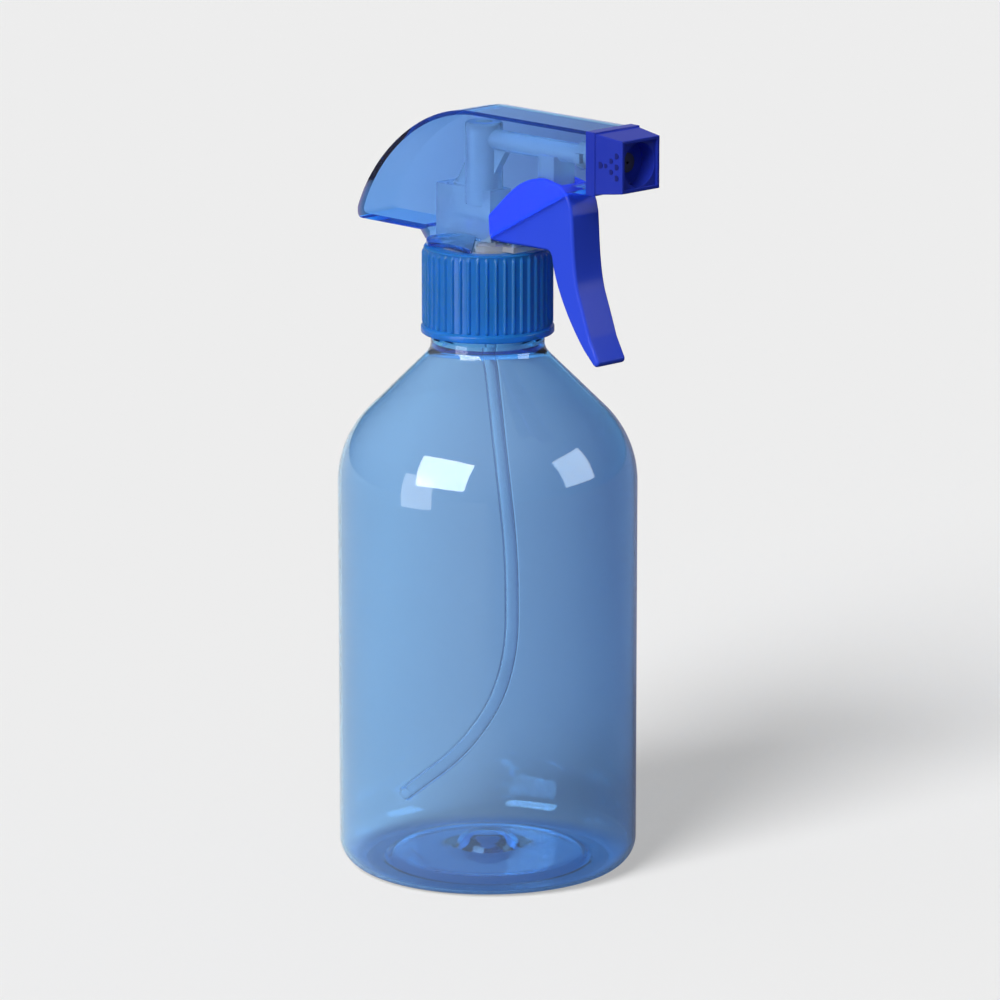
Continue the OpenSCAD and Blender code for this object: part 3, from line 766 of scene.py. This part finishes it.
KEPT = {
    "neck_gasket": (SEAL_WHITE, 0.15), "pump_body": (PUMP_WHITE, 0.25), "tube_holder": (PUMP_WHITE, 0.2),
    "inlet_ball": (GLASS, 0), "channel_plug": (PUMP_WHITE, 0.15), "piston": (TRIGGER_BLUE, 0.15),
    "piston_seal_front": (SEAL_WHITE, 0.1), "piston_seal_rear": (SEAL_WHITE, 0.1),
    "outlet_ball": (GLASS, 0), "tower_cap": (PUMP_WHITE, 0.2), "nozzle_holder": (PUMP_WHITE, 0.15),
    "swirl_insert": (PUMP_WHITE, 0.08), "nozzle_seal": (RING_BLACK, 0), "pivot_pin": (STEEL, 0.15),
    "drive_pin": (STEEL, 0.15), "orifice_insert": (INSERT_NAVY, 0.08),
}


def dress_kept_nodes():
    for name, (material, edge) in KEPT.items():
        obj = frame["nodes"][name]
        obj.data.materials.clear()
        obj.data.materials.append(material)
        if edge:
            bevel(obj, edge, 2, 40, keep=True)


# ---------------------------------------------------------------- stage, lights, camera

VIEW_AZ = math.radians(45.5)
VIEW_EL = math.radians(13.23)
VIEW_D = 1.5975
RIGHT = Vector((math.cos(VIEW_AZ), math.sin(VIEW_AZ), 0))
BACK = Vector((math.sin(VIEW_AZ) * math.cos(VIEW_EL), -math.cos(VIEW_AZ) * math.cos(VIEW_EL),
               math.sin(VIEW_EL)))
UP = BACK.cross(RIGHT)
VIEW_LENS = 229.75
VIEW_CENTRE = Vector((0, 0, 0.098)) + 0.00308 * RIGHT - 0.00444 * UP


def camera():
    cam = bpy.data.cameras.new("camera")
    obj = new_object("camera", cam)
    cam.sensor_width = 36
    cam.lens = VIEW_LENS
    cam.clip_start = 0.05
    cam.clip_end = 60
    obj.location = VIEW_CENTRE + VIEW_D * BACK
    obj.rotation_euler = Matrix((RIGHT, UP, BACK)).transposed().to_euler()
    scene.camera = obj


FLOOR_SIZE = 20
FLOOR_SEEN = (0.86, 0.86, 0.86)
FLOOR_LEFT = (0.85, 0.86, 0.88)
# Painted shade: the dark tone the floor falls to on the right, seen only through plastic and in gloss.
FLOOR_RIGHT_PAINTED_SHADE = (0.27, 0.27, 0.38)
PAINTED_SHADE_FALL = (-0.035, 0.05)
# Painted shadow under the bottle, and the radii over which it fades out.
FLOOR_PAINTED_SHADOW_UNDER = (0.03, 0.22, 0.60)
SHADOW_UNDER_RADII = (0.028, 0.042)
FLOOR_BOUNCE = 0.14
SOFTBOX_AIM_Z = 0.1
SKY_SIDE = (-62, 40)
SKY_FROM = -0.1
SKY_TO = 1.0
SKY_DIM = 0.09
SKY_BRIGHT = 0.95
SKY_THROUGH = (0.22, 0.50, 0.80)
SKY_BACKDROP = 0.84
KEY_STRENGTH = 2.4
KEY_SOFTNESS = 30


def stage():
    """The floor: one pale tone for the camera. Through plastic and in gloss it has painted shade to the
    right and a painted shadow under the bottle, and bounced light sees a dark tone.
    """
    mesh = bpy.data.meshes.new("floor")
    corners = [(x * FLOOR_SIZE, y * FLOOR_SIZE, 0) for x, y in ((-1, -1), (1, -1), (1, 1), (-1, 1))]
    mesh.from_pydata(corners, [], [(0, 1, 2, 3)])
    floor = new_object("floor", mesh)
    mat, tree, shader = node_material("pale_floor")
    path = tree.nodes.new("ShaderNodeLightPath")
    place = tree.nodes.new("ShaderNodeNewGeometry")

    # Painted shade: seen through plastic or by reflection, the floor falls off to a dark tone to the right
    # of the camera.
    across = tree.nodes.new("ShaderNodeVectorMath")
    across.operation = "DOT_PRODUCT"
    across.inputs[1].default_value = RIGHT
    tree.links.new(place.outputs["Position"], across.inputs[0])
    fall = tree.nodes.new("ShaderNodeMapRange")
    fall.inputs["From Min"].default_value = PAINTED_SHADE_FALL[0]
    fall.inputs["From Max"].default_value = PAINTED_SHADE_FALL[1]
    tree.links.new(across.outputs["Value"], fall.inputs["Value"])
    tone = tree.nodes.new("ShaderNodeMix")
    tone.data_type = "RGBA"
    tone.inputs["A"].default_value = (*FLOOR_LEFT, 1)
    tone.inputs["B"].default_value = (*FLOOR_RIGHT_PAINTED_SHADE, 1)
    tree.links.new(fall.outputs["Result"], tone.inputs["Factor"])

    # Painted shadow: under the bottle, through plastic and in gloss, the floor takes a dark blue tone that
    # stands in for the bottle's shade and the blue light that comes through its plastic.
    reach = tree.nodes.new("ShaderNodeVectorMath")
    reach.operation = "LENGTH"
    tree.links.new(place.outputs["Position"], reach.inputs[0])
    under = tree.nodes.new("ShaderNodeMapRange")
    under.interpolation_type = "SMOOTHSTEP"
    under.inputs["From Min"].default_value = SHADOW_UNDER_RADII[0]
    under.inputs["From Max"].default_value = SHADOW_UNDER_RADII[1]
    tree.links.new(reach.outputs["Value"], under.inputs["Value"])
    seen = tree.nodes.new("ShaderNodeMix")
    seen.data_type = "RGBA"
    seen.inputs["A"].default_value = (*FLOOR_PAINTED_SHADOW_UNDER, 1)
    tree.links.new(under.outputs["Result"], seen.inputs["Factor"])
    tree.links.new(tone.outputs["Result"], seen.inputs["B"])

    # The camera sees one pale tone, and bounced light a dark one.
    through = tree.nodes.new("ShaderNodeMix")
    through.data_type = "RGBA"
    through.inputs["A"].default_value = (*FLOOR_SEEN, 1)
    indirect = tree.nodes.new("ShaderNodeMath")
    indirect.operation = "MAXIMUM"
    tree.links.new(path.outputs["Is Transmission Ray"], indirect.inputs[0])
    tree.links.new(path.outputs["Is Glossy Ray"], indirect.inputs[1])
    tree.links.new(indirect.outputs["Value"], through.inputs["Factor"])
    tree.links.new(seen.outputs["Result"], through.inputs["B"])
    bounce = tree.nodes.new("ShaderNodeMix")
    bounce.data_type = "RGBA"
    bounce.inputs["B"].default_value = (FLOOR_BOUNCE, FLOOR_BOUNCE, FLOOR_BOUNCE, 1)
    tree.links.new(path.outputs["Is Diffuse Ray"], bounce.inputs["Factor"])
    tree.links.new(through.outputs["Result"], bounce.inputs["A"])
    tree.links.new(bounce.outputs["Result"], shader.inputs["Base Color"])
    shader.inputs["Roughness"].default_value = 0.9
    shader.inputs["Specular IOR Level"].default_value = 0.0
    mesh.materials.append(mat)


def toward(azimuth, elevation):
    """Direction in degrees: azimuth to the right of where the camera stands, and elevation up."""
    a = VIEW_AZ + math.radians(azimuth)
    e = math.radians(elevation)
    return Vector((math.sin(a) * math.cos(e), -math.cos(a) * math.cos(e), math.sin(e)))


def sun(azimuth, elevation, strength, softness):
    """The key light. It shows neither in gloss nor through plastic."""
    lamp = bpy.data.lights.new("key_sun", "SUN")
    lamp.energy = strength
    lamp.angle = math.radians(softness)
    obj = new_object("key_sun", lamp)
    obj.rotation_euler = toward(azimuth, elevation).to_track_quat("Z", "Y").to_euler()
    obj.visible_glossy = False
    obj.visible_transmission = False
    return obj


def softbox(name, azimuth, elevation, distance, width, height, radiance, inside=True):
    """A lit panel that shows only in gloss, and through clear plastic too where inside is true."""
    lamp = bpy.data.lights.new(name, "AREA")
    lamp.shape = "RECTANGLE"
    lamp.size = width
    lamp.size_y = height
    lamp.energy = radiance * math.pi * width * height
    obj = new_object(name, lamp)
    way = toward(azimuth, elevation)
    obj.location = Vector((0, 0, SOFTBOX_AIM_Z)) + distance * way
    obj.rotation_euler = way.to_track_quat("Z", "Y").to_euler()
    obj.visible_diffuse = False
    obj.visible_camera = False
    obj.visible_transmission = inside
    return obj


def world():
    """A dim room, brightest to the upper left. Seen through plastic it is blue, by the camera pale."""
    w = bpy.data.worlds.new("studio")
    scene.world = w
    w.use_nodes = True
    tree = w.node_tree
    back = tree.nodes["Background"]
    back.inputs["Strength"].default_value = 1.0
    coords = tree.nodes.new("ShaderNodeTexCoord")
    facing = tree.nodes.new("ShaderNodeVectorMath")
    facing.operation = "DOT_PRODUCT"
    facing.inputs[1].default_value = toward(*SKY_SIDE)
    fall = tree.nodes.new("ShaderNodeMapRange")
    fall.interpolation_type = "SMOOTHSTEP"
    fall.inputs["From Min"].default_value = SKY_FROM
    fall.inputs["From Max"].default_value = SKY_TO
    fall.inputs["To Min"].default_value = SKY_DIM
    fall.inputs["To Max"].default_value = SKY_BRIGHT
    tree.links.new(coords.outputs["Generated"], facing.inputs[0])
    tree.links.new(facing.outputs["Value"], fall.inputs["Value"])
    path = tree.nodes.new("ShaderNodeLightPath")
    through = tree.nodes.new("ShaderNodeMix")
    through.data_type = "RGBA"
    through.inputs["B"].default_value = (*SKY_THROUGH, 1)
    tree.links.new(path.outputs["Is Transmission Ray"], through.inputs["Factor"])
    tree.links.new(fall.outputs["Result"], through.inputs["A"])
    backdrop = tree.nodes.new("ShaderNodeMix")
    backdrop.data_type = "RGBA"
    backdrop.inputs["B"].default_value = (SKY_BACKDROP, SKY_BACKDROP, SKY_BACKDROP, 1)
    tree.links.new(path.outputs["Is Camera Ray"], backdrop.inputs["Factor"])
    tree.links.new(through.outputs["Result"], backdrop.inputs["A"])
    tree.links.new(backdrop.outputs["Result"], back.inputs["Color"])


scene.view_settings.view_transform = "Standard"
camera()
stage()
world()
sun(-34, 36, KEY_STRENGTH, KEY_SOFTNESS)
softbox("window_left", -38, 28, 2.2, 1.6, 1.25, 16)
softbox("window_low", -54, 5, 0.4, 0.18, 0.22, 7, inside=False)
softbox("window_right", 77, 22, 2.2, 1.15, 1.1, 7)
softbox("window_back", 180, 16, 2.2, 1.6, 0.8, 0.35)

bottle_piece()
closure_piece()
cover_piece()
trigger_piece()
nozzle_piece()
for index, mark in enumerate(nozzle_marks()):
    mark.name = "spray_mark_%02d" % index
    finish_piece(mark, MARK_BLUE, "nozzle_cap", [])
dip_tube_piece()
return_spring_piece()
outlet_spring_piece()
dress_kept_nodes()
